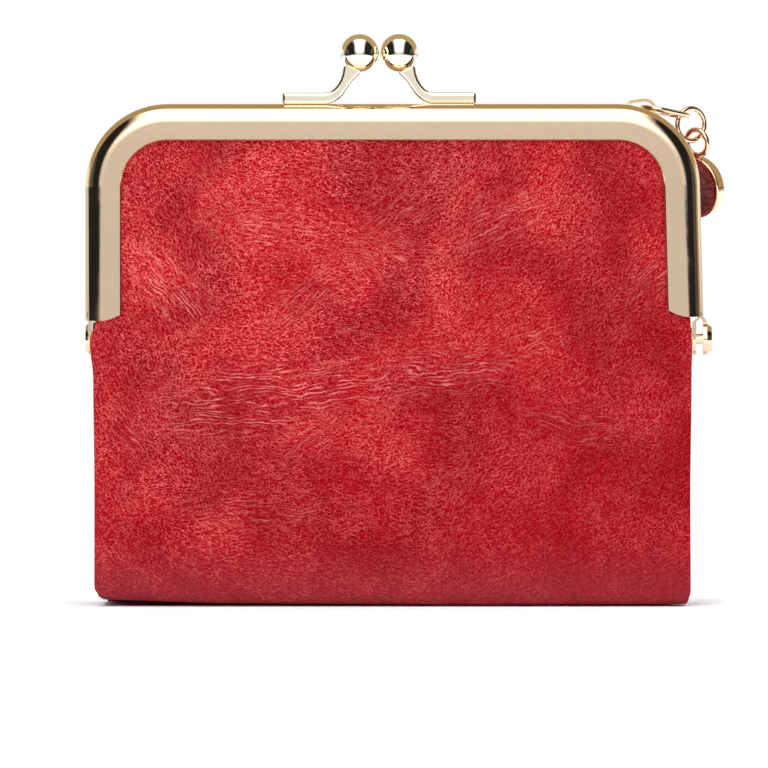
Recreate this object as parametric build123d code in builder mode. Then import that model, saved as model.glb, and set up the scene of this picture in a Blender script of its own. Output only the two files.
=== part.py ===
"""Kiss-lock coin purse with a zipped pocket behind: every piece as its own solid.

Millimetres, +Z up, +X to the right of someone facing the front, the front towards -Y.
The origin lies on the underside, below the middle of the leather body.
"""

import math
import os

from build123d import *

os.makedirs("parts", exist_ok=True)

# ---------------------------------------------------------------- driving dimensions
# metal frame, one half in front of the other
leg_left_x = -59.4
leg_right_top_x = 59.2
leg_right_end_x = 60.35
leg_end_left_z = 55.4
leg_end_right_z = 56.2
leg_end_rise = 1.4
leg_end_middle = (2.2, 0.35)
leg_end_reach = 6.0
below_legs_z = 40.0
frame_top_z = 97.3
frame_corner = 16.0
band_width = 7.0
half_depth = 4.95
sheet = 0.8
edge_round = 3.4
channel_round = 2.4
rim_chamfer = 0.25
hidden_edge_round = 0.5
parting_y = -4.0
parting_gap = 0.05

# hinge
hinge_z = 51.7
ear_radius = 3.2
ear_sheet = 0.7
ear_gap = 0.15
left_ear_in = 0.6
right_front_ear_in = 2.15
right_rear_ear_in = 0.05
strap_lap = 0.9
strap_bend_z = (56.3, 55.2)
wall_inset = 0.15
pin_radius = 1.0
pin_play = 0.05
rivet_head_radius = 3.0
left_head_height = 0.5
right_head_height = 0.9
rivet_head_taper = 35
rivet_tail_radius = 1.5
rivet_tail_height = 0.5
rivet_tail_taper = 30
rivet_lap = 0.1
head_gap = 0.08
washer_sheet = 0.3
washer_radius = 2.2

# clasp
clasp_x = -2.45
ball_radius = 3.75
ball_spacing = 7.66
ball_z = 107.1
ball_offset_y = 0.8
foot_reach = 18.8
foot_gap = 0.15
clasp_depth = 2.3
clasp_round = 0.6
# the arm's two edges, across from the ball's middle and up from the frame's top
arm_outer = (
    (-8.0, 2.2), (-6.4, 2.25), (-5.4, 2.6), (-4.56, 3.4), (-3.75, 4.7), (-3.4, 5.8), (-3.2, 7.0),
)
arm_outer_ends = ((1.0, 0.0), (0.2, 1.2))
arm_inner = (
    (-8.0, 0.0), (-6.2, 0.05), (-5.0, 0.4), (-3.99, 1.0), (-2.57, 2.65), (-1.43, 4.3), (0.0, 5.8),
)
arm_inner_ends = ((1.0, 0.0), (1.43, 1.5))
arm_in_ball = ((-1.6, 8.4), (0.2, 7.4))

# leather body
body_half_width = 57.9
leather = 1.5
fold_top_z = 56.2
fold_bottom_z = 47.0
front_skin_y = -8.1
front_belly_y = -9.7
belly_z = 18.0
belly_shoulder_z = 33.0
belly_shoulder_in = 0.4
belly_foot_in = 0.5
fold_taper = 1.0
base_sheet = 1.4
base_corner = 1.5
base_back_lap = 0.4
panel_tuck = 2.6
centre_skin_y = 0.1
centre_sheet = 1.2
centre_step_z = 52.0
cord_radius = 0.8
cord_inset = 2.4
cord_end_rise = 2.5
hair_gap = 0.05

# side folds and lining of the coin compartment
gusset_sheet = 0.7
gusset_top_z = 88.0
upper_gusset_x = (51.8, 47.2)
lower_gusset_x = (55.8, 50.8)
gusset_belly_gap = 0.2
lining = 0.25
lining_half_width = 46.0
lining_top_z = 88.0

# zipped pocket behind the frame
pocket_half_width = 56.5
pocket_corner = 5.0
pocket_top_z = 92.2
pocket_front_y = 1.1
pocket_front_sheet = 0.8
pocket_back_y = 7.7
pocket_back_sheet = 0.9
pocket_belly_y = 9.6
pocket_belly_z = 30.0
pocket_flat_from_z = 68.0
pocket_foot_out = 0.4
pocket_gusset_sheet = 0.9
pocket_mouth_gap = 0.6
pocket_lining_half = 54.0
pocket_lining_top = 89.0

# zip
zip_y = 4.9
zip_left_x = -49.4
zip_right_x = 52.6
tape_z = 91.75
tape_sheet = 0.35
tape_inner_gap = 2.6
tooth_pitch = 2.0
tooth_width = 0.85
tooth_length = 1.8
tooth_height = 1.4
tooth_z = 91.2
teeth_left_x = -46.4
teeth_count = 47
bottom_stop = (1.2, 2.6, 1.8)
bottom_stop_gap = 1.6
bottom_stop_round = 0.3
top_stop = 0.8

# slider
slider_left_x = 43.3
slider_length = 8.0
slider_width = 5.2
slider_plate = 0.8
slider_bottom_z = 90.0
slider_top_z = 93.9
# middle line of the arched bridge, from its left foot to its right foot
bridge_line = (
    (44.95, 93.6), (44.95, 96.2), (46.2, 97.35), (48.0, 97.75),
    (49.6, 97.8), (50.75, 97.1), (51.0, 95.8), (51.0, 93.6),
)
slider_corner = 1.6
slider_flange = (4.0, 0.5, 0.6)
slider_flange_shift = -0.5
slider_neck = ((-1.0, 0.0), (0.2, -0.9), (1.0, 0.0), (0.2, 0.9))
slider_neck_inset = 1.2
bridge_wire = 0.6
bridge_width = 1.0

# chain and pendant
wire = 0.5
chain_play = 0.3
link_pivot = (49.2, 4.9, 96.4)
link_turn = 33.0
link_slope = 11.0
link_span = 9.7
link_half_width = 3.0
ring_radius = 3.15
ring_turn = 32.0
ring_hang = -36.5
bail_at_ring = -38.0
disc_radius = 6.1
disc_height = 2.4
disc_turn = 52.0
pendant_lean = 12.0
bail_radius = 2.5
bail_wire = 0.55
bail_lap = 0.3
cup_floor = 0.8
cup_round = 0.4
inlay_radius = 5.4
inlay_gap = 0.03
inlay_crown = 0.5
inlay_dome_in = 2.0
inlay_sunk = 0.2


def save(piece, name, place=Location()):
    """Move a finished piece to its place, label it and write its STEP file."""
    piece.part = piece.part.moved(place)
    piece.part.label = name
    export_step(piece.part, f"parts/{name}.step")


# ---------------------------------------------------------------- outlines
right_lean = (leg_right_end_x - leg_right_top_x) / (frame_top_z - leg_end_right_z)


def right_edge_x(z):
    """The outer edge of the right leg, which leans outwards as it comes down."""
    return leg_right_top_x + right_lean * (frame_top_z - z)


def frame_corners(inset, left_end, right_end):
    """Corner points of the frame's outline, drawn in by inset."""
    top = frame_top_z - inset
    return [
        (leg_left_x + inset, left_end),
        (leg_left_x + inset, top),
        (right_edge_x(top) - inset, top),
        (right_edge_x(right_end) - inset, right_end),
    ]


def frame_region(y, inset, left_end, right_end):
    """Everything inside the frame's outline, drawn in by inset, on the plane at y."""
    with BuildSketch(Plane.XZ.offset(-y)) as region:
        with BuildLine():
            corners = frame_corners(inset, left_end, right_end)
            outline = FilletPolyline(*corners, radius=frame_corner - inset)
            Line(outline @ 1, outline @ 0)
        make_face()
    return region.sketch


def leg_end_cut(y, inner_x, end_z, side):
    """The hollow curve that trims a leg's end, lowest at the outer edge."""
    with BuildSketch(Plane.XZ.offset(-y)) as cut:
        with BuildLine():
            high = (inner_x - side, end_z + leg_end_rise)
            inner = (inner_x, end_z + leg_end_rise)
            middle = (inner_x + leg_end_middle[0] * side, end_z + leg_end_middle[1])
            outer = (inner_x + leg_end_reach * side, end_z)
            Line(high, inner)
            ThreePointArc(inner, middle, outer)
            Polyline(outer, (outer[0], below_legs_z), (high[0], below_legs_z), high)
        make_face()
    return cut.sketch


def pocket_region(y, inset):
    """Outline of the zipped pocket, drawn in by inset, on the plane at y."""
    half = pocket_half_width - inset
    top = pocket_top_z - inset
    with BuildSketch(Plane.XZ.offset(-y)) as region:
        with BuildLine():
            side = [(-half, base_sheet), (-half, top), (half, top), (half, base_sheet)]
            outline = FilletPolyline(*side, radius=pocket_corner - inset)
            Line(outline @ 1, outline @ 0)
        make_face()
    return region.sketch


# ---------------------------------------------------------------- frame halves
ear_spans = {
    # side: (front ear, rear ear), each as its lowest and highest x
    "left": (
        (leg_left_x + left_ear_in, leg_left_x + left_ear_in + ear_sheet),
        (
            leg_left_x + left_ear_in + ear_sheet + ear_gap,
            leg_left_x + left_ear_in + 2 * ear_sheet + ear_gap,
        ),
    ),
    "right": (
        (
            leg_right_end_x - right_front_ear_in,
            leg_right_end_x - right_front_ear_in + ear_sheet,
        ),
        (
            leg_right_end_x - right_rear_ear_in,
            leg_right_end_x - right_rear_ear_in + ear_sheet,
        ),
    ),
}


def channel_void(front_y, back_y, show_y):
    """The hollow of a folded sheet channel, open towards the middle of the frame."""
    with BuildPart() as void:
        void_region = frame_region(back_y, sheet, below_legs_z, below_legs_z)
        extrude(void_region, amount=back_y - front_y)
        shown = void.faces().filter_by(Axis.Y).sort_by(Axis.Y)[0 if show_y < 0 else -1]
        fillet(shown.edges().sort_by(Axis.Z)[1:], radius=channel_round)
    return void.part


def ear(span, y_low, y_high, wall):
    """One hinge ear: an eye round the pin, and a strap that slants up into the leg's wall."""
    low, high = span
    wall_low, wall_high = wall
    strap_top = leg_end_right_z + strap_lap
    bend_top, bend_foot = strap_bend_z
    with BuildPart() as piece:
        with BuildSketch(Plane.YZ.offset(low)):
            with Locations((parting_y, hinge_z)):
                Circle(ear_radius)
        extrude(amount=high - low)
        with BuildSketch(Plane.XZ.offset(-y_high)):
            with BuildLine():
                Polyline(
                    (wall_low, strap_top),
                    (wall_high, strap_top),
                    (wall_high, bend_top),
                    (high, bend_foot),
                    (high, hinge_z),
                    (low, hinge_z),
                    (low, bend_foot),
                    (wall_low, bend_top),
                    close=True,
                )
            make_face()
        extrude(amount=y_high - y_low)
        with BuildSketch(Plane.YZ.offset(low)):
            with Locations((parting_y, hinge_z)):
                Circle(pin_radius + pin_play)
        extrude(amount=high - low, mode=Mode.SUBTRACT)
    return piece.part


def frame_half(front_y, back_y, show_y, which):
    """One half of the frame: a folded channel with two hinge ears."""
    inner_left = leg_left_x + band_width
    inner_right = leg_right_end_x - band_width
    inner_front = front_y + sheet
    inner_back = back_y - sheet
    void = channel_void(inner_front, inner_back, show_y)
    strap = (parting_y - ear_radius, back_y) if which == 0 else (front_y, parting_y + ear_radius)
    left_wall = (leg_left_x + wall_inset, leg_left_x + sheet)
    right_wall = (leg_right_end_x - sheet, leg_right_end_x - wall_inset)
    left_ear = ear(ear_spans["left"][which], *strap, left_wall)
    right_ear = ear(ear_spans["right"][which], *strap, right_wall)
    depth = back_y - front_y
    with BuildPart() as half:
        extrude(frame_region(back_y, 0, leg_end_left_z, leg_end_right_z), amount=depth)
        shown = half.faces().filter_by(Axis.Y).sort_by(Axis.Y)[0 if show_y < 0 else -1]
        hidden = half.faces().filter_by(Axis.Y).sort_by(Axis.Y)[-1 if show_y < 0 else 0]
        fillet(shown.edges().sort_by(Axis.Z)[1:], radius=edge_round)
        fillet(hidden.edges().sort_by(Axis.Z)[1:], radius=hidden_edge_round)
        extrude(
            frame_region(back_y, band_width, below_legs_z, below_legs_z),
            amount=depth,
            mode=Mode.SUBTRACT,
        )
        # a narrow chamfer round the inner edge of the side that shows
        rim_y = front_y + rim_chamfer if show_y < 0 else back_y
        rim_inset = band_width if show_y < 0 else band_width - rim_chamfer
        extrude(
            frame_region(rim_y, rim_inset, below_legs_z, below_legs_z),
            amount=rim_chamfer,
            taper=-45 if show_y < 0 else 45,
            mode=Mode.SUBTRACT,
        )
        add(void, mode=Mode.SUBTRACT)
        extrude(
            leg_end_cut(back_y, inner_left, leg_end_left_z, -1),
            amount=depth,
            mode=Mode.SUBTRACT,
        )
        extrude(
            leg_end_cut(back_y, inner_right, leg_end_right_z, 1),
            amount=depth,
            mode=Mode.SUBTRACT,
        )
        add(left_ear)
        add(right_ear)
    return half


front_frame_y = (parting_y - parting_gap - half_depth, parting_y - parting_gap)
rear_frame_y = (parting_y + parting_gap, parting_y + parting_gap + half_depth)
front_frame = frame_half(*front_frame_y, -1, 0)
save(front_frame, "front_frame")
rear_frame = frame_half(*rear_frame_y, 1, 1)
save(rear_frame, "rear_frame")


# ---------------------------------------------------------------- paper cord in each channel
def packing_cord(y):
    """The twisted paper cord that jams the leather into its channel."""
    left_end = leg_end_left_z + cord_end_rise
    right_end = leg_end_right_z + cord_end_rise
    corners = frame_corners(cord_inset, left_end, right_end)
    with BuildPart() as piece:
        with BuildLine(Plane.XZ.offset(-y)) as path:
            FilletPolyline(*corners, radius=frame_corner - cord_inset)
        with BuildSketch(Plane(path.line @ 0, z_dir=path.line % 0)):
            Circle(cord_radius)
        sweep(path=path.line)
    return piece


front_cord = packing_cord(front_skin_y + leather + cord_radius + hair_gap)
save(front_cord, "front_frame_cord")
rear_cord = packing_cord(centre_skin_y - centre_sheet - cord_radius - hair_gap)
save(rear_cord, "rear_frame_cord")


# ---------------------------------------------------------------- clasp
# Each half of the kiss lock is a foot on the frame, a bent arm and a ball. The rear half
# is the front half turned half round the middle of the lock.
ball_x = clasp_x - ball_spacing / 2
foot_end_x = clasp_x - foot_reach
foot_back_y = parting_y - parting_gap - foot_gap

with BuildPart() as front_clasp:
    with BuildSketch(Plane.XZ.offset(-foot_back_y)):
        outer_points = [(ball_x + x, frame_top_z + z) for x, z in arm_outer]
        inner_points = [(ball_x + x, frame_top_z + z) for x, z in arm_inner]
        hidden_points = [(ball_x + x, frame_top_z + z) for x, z in arm_in_ball]
        foot_top_z = outer_points[0][1]
        with BuildLine():
            arm_back = Spline(*outer_points, tangents=arm_outer_ends)
            arm_front = Spline(*inner_points, tangents=arm_inner_ends)
            Polyline(arm_back @ 1, *hidden_points, arm_front @ 1)
            Polyline(
                arm_front @ 0,
                (foot_end_x, frame_top_z),
                (foot_end_x, foot_top_z),
                arm_back @ 0,
            )
        make_face()
    extrude(amount=clasp_depth)
    foot_edges = front_clasp.edges().filter_by_position(
        Axis.X, foot_end_x, outer_points[0][0], inclusive=(True, False)
    )
    arm_edges = front_clasp.edges().filter_by(GeomType.BSPLINE)
    fillet(foot_edges + arm_edges, radius=clasp_round)
    with Locations((ball_x, parting_y - ball_offset_y, ball_z)):
        Sphere(ball_radius)
    split(bisect_by=Plane.XY.offset(frame_top_z), keep=Keep.TOP)
save(front_clasp, "front_clasp")

clasp_middle = Axis((clasp_x, parting_y, 0), (0, 0, 1))
with BuildPart() as rear_clasp:
    add(front_clasp.part.rotate(clasp_middle, 180))
save(rear_clasp, "rear_clasp")


# ---------------------------------------------------------------- hinge rivets
def rivet(outer_x, inner_x, head_height):
    """A domed rivet through both ears, with its small closed tail inside."""
    side = 1 if outer_x > inner_x else -1
    with BuildPart() as piece:
        with BuildSketch(Plane(origin=(inner_x, parting_y, hinge_z), z_dir=(side, 0, 0))):
            Circle(pin_radius)
        extrude(amount=abs(outer_x - inner_x) + rivet_lap)
        with BuildSketch(Plane(origin=(outer_x, parting_y, hinge_z), z_dir=(side, 0, 0))):
            Circle(rivet_head_radius)
        extrude(amount=head_height, taper=rivet_head_taper)
        with BuildSketch(Plane(origin=(inner_x, parting_y, hinge_z), z_dir=(-side, 0, 0))):
            Circle(rivet_tail_radius)
        extrude(amount=rivet_tail_height, taper=rivet_tail_taper)
    return piece


def washer(low_x, high_x):
    """A thin spacer ring between a rivet's tail and the inner ear."""
    with BuildPart() as piece:
        with BuildSketch(Plane.YZ.offset(low_x)):
            with Locations((parting_y, hinge_z)):
                Circle(washer_radius)
                Circle(pin_radius + pin_play, mode=Mode.SUBTRACT)
        extrude(amount=high_x - low_x)
    return piece


left_front_ear, left_rear_ear = ear_spans["left"]
right_front_ear, right_rear_ear = ear_spans["right"]
left_tail_x = left_rear_ear[1] + head_gap + washer_sheet
right_tail_x = right_front_ear[0] - head_gap - washer_sheet
left_rivet = rivet(left_front_ear[0] - head_gap, left_tail_x, left_head_height)
right_rivet = rivet(right_rear_ear[1] + head_gap, right_tail_x, right_head_height)
save(left_rivet, "left_hinge_rivet")
save(right_rivet, "right_hinge_rivet")
save(washer(left_tail_x - washer_sheet, left_tail_x), "left_hinge_washer")
save(washer(right_tail_x, right_tail_x + washer_sheet), "right_hinge_washer")


# ---------------------------------------------------------------- front leather panel
with BuildPart() as front_panel_upper:
    tucked = frame_region(front_skin_y + leather, panel_tuck, fold_top_z, fold_top_z)
    extrude(tucked, amount=leather)
save(front_panel_upper, "front_panel_upper")

with BuildPart() as front_panel_fold:
    with BuildSketch(Plane.XZ.offset(-(front_skin_y + leather))):
        fold_left = leg_left_x + panel_tuck
        fold_right = right_edge_x(fold_top_z) - panel_tuck
        with BuildLine():
            Polyline(
                (-body_half_width + fold_taper, fold_bottom_z),
                (fold_left, fold_top_z),
                (fold_right, fold_top_z),
                (body_half_width, fold_bottom_z),
                close=True,
            )
        make_face()
    extrude(amount=leather)
save(front_panel_fold, "front_panel_fold")

with BuildPart() as front_panel_lower:
    with BuildSketch(Plane.YZ.offset(-body_half_width)):
        belly_points = [
            (front_skin_y, fold_bottom_z),
            (front_belly_y + belly_shoulder_in, belly_shoulder_z),
            (front_belly_y, belly_z),
            (front_belly_y + belly_foot_in, base_sheet),
        ]
        with BuildLine():
            skin = Spline(*belly_points)
            inner = Spline(*[(y + leather, z) for y, z in belly_points])
            Line(skin @ 1, inner @ 1)
            Line(skin @ 0, inner @ 0)
        make_face()
    extrude(amount=2 * body_half_width)
save(front_panel_lower, "front_panel_lower")

with BuildPart() as base_panel:
    base_front = front_belly_y + belly_foot_in
    base_back = pocket_back_y + pocket_back_sheet + base_back_lap
    with Locations((0, (base_front + base_back) / 2, base_sheet / 2)):
        Box(2 * body_half_width, base_back - base_front, base_sheet)
    fillet(base_panel.edges().filter_by(Axis.Z), radius=base_corner)
save(base_panel, "base_panel")


# ---------------------------------------------------------------- coin compartment
with BuildPart() as centre_panel:
    tucked = frame_region(centre_skin_y, panel_tuck, fold_bottom_z, fold_bottom_z)
    extrude(tucked, amount=centre_sheet)
    with BuildSketch(Plane.XZ.offset(-centre_skin_y)):
        with Locations((0, base_sheet)):
            Rectangle(
                2 * pocket_half_width,
                centre_step_z - base_sheet,
                align=(Align.CENTER, Align.MIN),
            )
    extrude(amount=centre_sheet)
save(centre_panel, "centre_panel")


def gusset(side, span, low_z, high_z, front_y, back_y):
    """A side fold, creased inwards, between the front and the centre panel."""
    outer_x, apex_x = span
    middle_y = (front_y + back_y) / 2
    with BuildPart() as piece:
        with BuildSketch(Plane.XY.offset(low_z)):
            with BuildLine():
                Polyline(
                    (side * outer_x, front_y),
                    (side * apex_x, middle_y),
                    (side * outer_x, back_y),
                    (side * (outer_x - gusset_sheet), back_y),
                    (side * (apex_x - gusset_sheet), middle_y),
                    (side * (outer_x - gusset_sheet), front_y),
                    close=True,
                )
            make_face()
        extrude(amount=high_z - low_z)
    return piece


gusset_front_y = front_skin_y + leather + hair_gap
gusset_back_y = centre_skin_y - centre_sheet - hair_gap
upper_faces = (fold_bottom_z, gusset_top_z, gusset_front_y, gusset_back_y)
belly_y = front_belly_y + leather + gusset_belly_gap
lower_faces = (base_sheet, fold_bottom_z, belly_y, gusset_back_y)
for side, name in ((-1, "left"), (1, "right")):
    save(gusset(side, upper_gusset_x, *upper_faces), f"{name}_gusset_upper")
    lower = gusset(side, lower_gusset_x, *lower_faces)
    with lower:
        add(front_panel_lower.part, mode=Mode.SUBTRACT)
    save(lower, f"{name}_gusset_lower")

with BuildPart() as coin_lining_front:
    with BuildSketch(Plane.XZ.offset(-(gusset_front_y + lining))):
        with Locations((0, base_sheet)):
            Rectangle(
                2 * lining_half_width,
                lining_top_z - base_sheet,
                align=(Align.CENTER, Align.MIN),
            )
    extrude(amount=lining)
save(coin_lining_front, "coin_lining_front")

with BuildPart() as coin_lining_back:
    with BuildSketch(Plane.XZ.offset(-gusset_back_y)):
        with Locations((0, base_sheet)):
            Rectangle(
                2 * lining_half_width,
                lining_top_z - base_sheet,
                align=(Align.CENTER, Align.MIN),
            )
    extrude(amount=lining)
save(coin_lining_back, "coin_lining_back")


# ---------------------------------------------------------------- zipped pocket
pocket_front_back_y = pocket_front_y + pocket_front_sheet
with BuildPart() as pocket_front_panel:
    extrude(pocket_region(pocket_front_back_y, 0), amount=pocket_front_sheet)
    # below the frame's legs it is thicker and lies against the centre panel
    with BuildSketch(Plane.XZ.offset(-pocket_front_y)):
        with Locations((0, base_sheet)):
            Rectangle(
                2 * pocket_half_width,
                centre_step_z - base_sheet,
                align=(Align.CENTER, Align.MIN),
            )
    extrude(amount=pocket_front_y - centre_skin_y)
save(pocket_front_panel, "pocket_front_panel")

with BuildPart() as back_panel:
    with BuildSketch(Plane.YZ.offset(-pocket_half_width)):
        back_skin_y = pocket_back_y + pocket_back_sheet
        with BuildLine():
            Polyline(
                (pocket_back_y, pocket_flat_from_z),
                (pocket_back_y, pocket_top_z),
                (back_skin_y, pocket_top_z),
                (back_skin_y, pocket_flat_from_z),
            )
            outer_belly = Spline(
                (back_skin_y, pocket_flat_from_z),
                (pocket_belly_y, pocket_belly_z),
                (back_skin_y + pocket_foot_out, base_sheet),
                tangents=((0, -1), (0, -1)),
            )
            Line(outer_belly @ 1, (pocket_back_y + pocket_foot_out, base_sheet))
            Spline(
                (pocket_back_y + pocket_foot_out, base_sheet),
                (pocket_belly_y - pocket_back_sheet, pocket_belly_z),
                (pocket_back_y, pocket_flat_from_z),
                tangents=((0, 1), (0, 1)),
            )
        make_face()
    extrude(amount=2 * pocket_half_width)
    extrude(
        pocket_region(2 * pocket_belly_y, 0),
        amount=2 * pocket_belly_y,
        mode=Mode.INTERSECT,
    )
save(back_panel, "back_panel")

for side, name in ((-1, "left"), (1, "right")):
    with BuildPart() as pocket_gusset:
        extrude(pocket_region(pocket_back_y, 0), amount=pocket_back_y - pocket_front_back_y)
        extrude(
            pocket_region(pocket_back_y, pocket_gusset_sheet),
            amount=pocket_back_y - pocket_front_back_y,
            mode=Mode.SUBTRACT,
        )
        mouth_x = (zip_right_x if side > 0 else zip_left_x) + side * pocket_mouth_gap
        beyond = Keep.TOP if side > 0 else Keep.BOTTOM
        split(bisect_by=Plane.YZ.offset(mouth_x), keep=beyond)
    save(pocket_gusset, f"{name}_pocket_gusset")

with BuildPart() as pocket_lining:
    lining_y0 = pocket_front_back_y + hair_gap
    lining_y1 = pocket_back_y - hair_gap
    lining_mid = (lining_y0 + lining_y1) / 2
    lining_mid_z = (pocket_lining_top + base_sheet) / 2
    with Locations((0, lining_mid, lining_mid_z)):
        Box(2 * pocket_lining_half, lining_y1 - lining_y0, pocket_lining_top - base_sheet)
    with Locations((0, lining_mid, lining_mid_z + lining)):
        Box(
            2 * pocket_lining_half,
            lining_y1 - lining_y0 - 2 * lining,
            pocket_lining_top - base_sheet,
            mode=Mode.SUBTRACT,
        )
save(pocket_lining, "pocket_lining")


# ---------------------------------------------------------------- zip
tape_length = zip_right_x - zip_left_x
tape_middle_x = (zip_right_x + zip_left_x) / 2
tape_edges = {
    "front": (pocket_front_back_y, zip_y - tape_inner_gap / 2),
    "rear": (zip_y + tape_inner_gap / 2, pocket_back_y),
}
for row, (tape_low_y, tape_high_y) in tape_edges.items():
    with BuildPart() as zip_tape:
        with Locations((tape_middle_x, (tape_low_y + tape_high_y) / 2, tape_z + tape_sheet / 2)):
            Box(tape_length, tape_high_y - tape_low_y, tape_sheet)
    save(zip_tape, f"zip_tape_{row}")

tooth_rows = {
    "front": (tape_edges["front"][1] + tooth_length / 2, 0.0),
    "rear": (tape_edges["rear"][0] - tooth_length / 2, tooth_pitch / 2),
}
for row, (tooth_y, shift) in tooth_rows.items():
    with BuildPart() as zip_teeth:
        for index in range(teeth_count):
            tooth_x = teeth_left_x + index * tooth_pitch + shift
            with Locations((tooth_x, tooth_y, tooth_z + tooth_height / 2)):
                Box(tooth_width, tooth_length, tooth_height)
    save(zip_teeth, f"zip_teeth_{row}")

with BuildPart() as zip_bottom_stop:
    with Locations((teeth_left_x - bottom_stop_gap, zip_y, tooth_z + tooth_height / 2)):
        Box(*bottom_stop)
    fillet(zip_bottom_stop.edges().filter_by(Axis.Y), radius=bottom_stop_round)
save(zip_bottom_stop, "zip_bottom_stop")

with BuildPart() as zip_top_stops:
    for stop_y in (tape_edges["front"][1] + top_stop / 2, tape_edges["rear"][0] - top_stop / 2):
        with Locations((zip_right_x - top_stop / 2, stop_y, tooth_z + tooth_height / 2)):
            Box(top_stop, top_stop, tooth_height)
save(zip_top_stops, "zip_top_stops")


# ---------------------------------------------------------------- slider
slider_middle_x = slider_left_x + slider_length / 2
flange_inset, flange, flange_drop = slider_flange
with BuildPart() as zip_slider:
    for plate_z in (slider_bottom_z, slider_top_z - slider_plate):
        with BuildSketch(Plane.XY.offset(plate_z)):
            with Locations((slider_middle_x, zip_y)):
                RectangleRounded(slider_length, slider_width, slider_corner)
        extrude(amount=slider_plate)
    for edge_side in (-1, 1):
        flange_y = zip_y + edge_side * (slider_width - flange) / 2
        for flange_z in (
            slider_bottom_z + slider_plate + flange_drop / 2,
            slider_top_z - slider_plate - flange_drop / 2,
        ):
            with Locations((slider_middle_x + slider_flange_shift, flange_y, flange_z)):
                Box(slider_length - flange_inset, flange, flange_drop)
    neck_x = slider_left_x + slider_length - slider_neck_inset
    with BuildSketch(Plane.XY.offset(slider_bottom_z)):
        with BuildLine():
            Polyline(*[(neck_x + x, zip_y + y) for x, y in slider_neck], close=True)
        make_face()
    extrude(amount=slider_top_z - slider_bottom_z)
save(zip_slider, "zip_slider")

with BuildPart() as slider_bridge:
    with BuildSketch(Plane.XZ.offset(-(zip_y + bridge_width / 2))):
        with BuildLine():
            arch = Spline(*bridge_line)
        trace(arch, line_width=bridge_wire)
    extrude(amount=bridge_width)
    split(bisect_by=Plane.XY.offset(slider_top_z), keep=Keep.TOP)
save(slider_bridge, "slider_bridge")


# ---------------------------------------------------------------- chain
def turned(degrees):
    """The level direction at this angle from +X towards +Y."""
    return Vector(math.cos(math.radians(degrees)), math.sin(math.radians(degrees)), 0)


up = Vector(0, 0, 1)
link_level = turned(link_turn)
link_along = link_level * math.cos(math.radians(link_slope)) - up * math.sin(
    math.radians(link_slope)
)
link_across = turned(link_turn + 90)
link_start = Vector(*link_pivot)
link_centre = link_start + link_along * (link_span / 2)
link_plane = Plane(
    origin=link_centre,
    x_dir=link_along,
    z_dir=link_along.cross(link_across),
)

with BuildPart() as pull_link:
    straight = link_span / 2 - link_half_width
    bend = link_half_width
    with BuildLine(link_plane) as link_path:
        top_run = Line((-straight, bend), (straight, bend))
        ThreePointArc((straight, bend), (straight + bend, 0), (straight, -bend))
        Line((straight, -bend), (-straight, -bend))
        ThreePointArc((-straight, -bend), (-straight - bend, 0), (-straight, bend))
    with BuildSketch(Plane(top_run @ 0, z_dir=link_along)):
        Circle(wire)
    sweep(path=link_path.line)
save(pull_link, "pull_link")

ring_level = turned(ring_turn)
ring_contact = link_start + link_along * (link_span - 2 * wire - chain_play)
ring_centre = (
    ring_contact
    + ring_level * (ring_radius * math.cos(math.radians(ring_hang)))
    + up * (ring_radius * math.sin(math.radians(ring_hang)))
)
with BuildPart(Plane(ring_centre, x_dir=ring_level, z_dir=turned(ring_turn - 90))) as pull_ring:
    Torus(ring_radius, wire)
save(pull_ring, "pull_ring")


# ---------------------------------------------------------------- pendant
ring_radial = ring_level * math.cos(math.radians(bail_at_ring)) + up * math.sin(
    math.radians(bail_at_ring)
)
bail_contact = ring_centre + ring_radial * ring_radius
face_normal = turned(disc_turn + 180)
lean_out = turned(90) * math.sin(math.radians(pendant_lean))
hang = (lean_out - up * math.cos(math.radians(pendant_lean))).normalized()
disc_level = hang.cross(face_normal).normalized() * -1
pendant_normal = disc_level.cross(hang * -1).normalized()
bail_top = bail_contact - ring_radial * (wire + bail_wire + chain_play)
bail_centre = bail_top + hang * bail_radius
bail_reach = disc_radius + bail_radius + bail_lap
disc_centre = bail_centre + hang * bail_reach
disc_back = disc_centre - pendant_normal * (disc_height / 2)
disc_place = Plane(disc_back, x_dir=disc_level, z_dir=pendant_normal).location
from_below = (Align.CENTER, Align.CENTER, Align.MIN)

with BuildPart() as pendant_cup:
    Cylinder(disc_radius, disc_height, align=from_below)
    fillet(pendant_cup.edges().filter_by(GeomType.CIRCLE), radius=cup_round)
    with Locations((0, 0, cup_floor)):
        Cylinder(inlay_radius, disc_height, align=from_below, mode=Mode.SUBTRACT)

with BuildPart() as pendant_bail:
    with Locations((0, bail_reach, disc_height / 2)):
        Torus(bail_radius, bail_wire)
    add(pendant_cup.part, mode=Mode.SUBTRACT)

with BuildPart() as pendant_inlay:
    inlay_side = disc_height - cup_floor - inlay_sunk
    with Locations((0, 0, cup_floor)):
        Cylinder(inlay_radius - inlay_gap, inlay_side, align=from_below)
    with Locations((0, 0, disc_height - inlay_sunk)):
        Cone(
            inlay_radius - inlay_gap,
            inlay_radius - inlay_dome_in,
            inlay_crown,
            align=from_below,
        )

save(pendant_cup, "pendant_cup", disc_place)
save(pendant_bail, "pendant_bail", disc_place)
save(pendant_inlay, "pendant_inlay", disc_place)

print("link pivot", tuple(link_start))
print("link axis", tuple(link_across))
print("ring pivot", tuple(ring_contact), "ring centre", tuple(ring_centre))
print("bail pivot", tuple(bail_contact), "ring level", tuple(ring_level))
print("disc centre", tuple(disc_centre), "normal", tuple(pendant_normal))
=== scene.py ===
import math

import bmesh
import bpy
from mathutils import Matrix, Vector, noise


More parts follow.
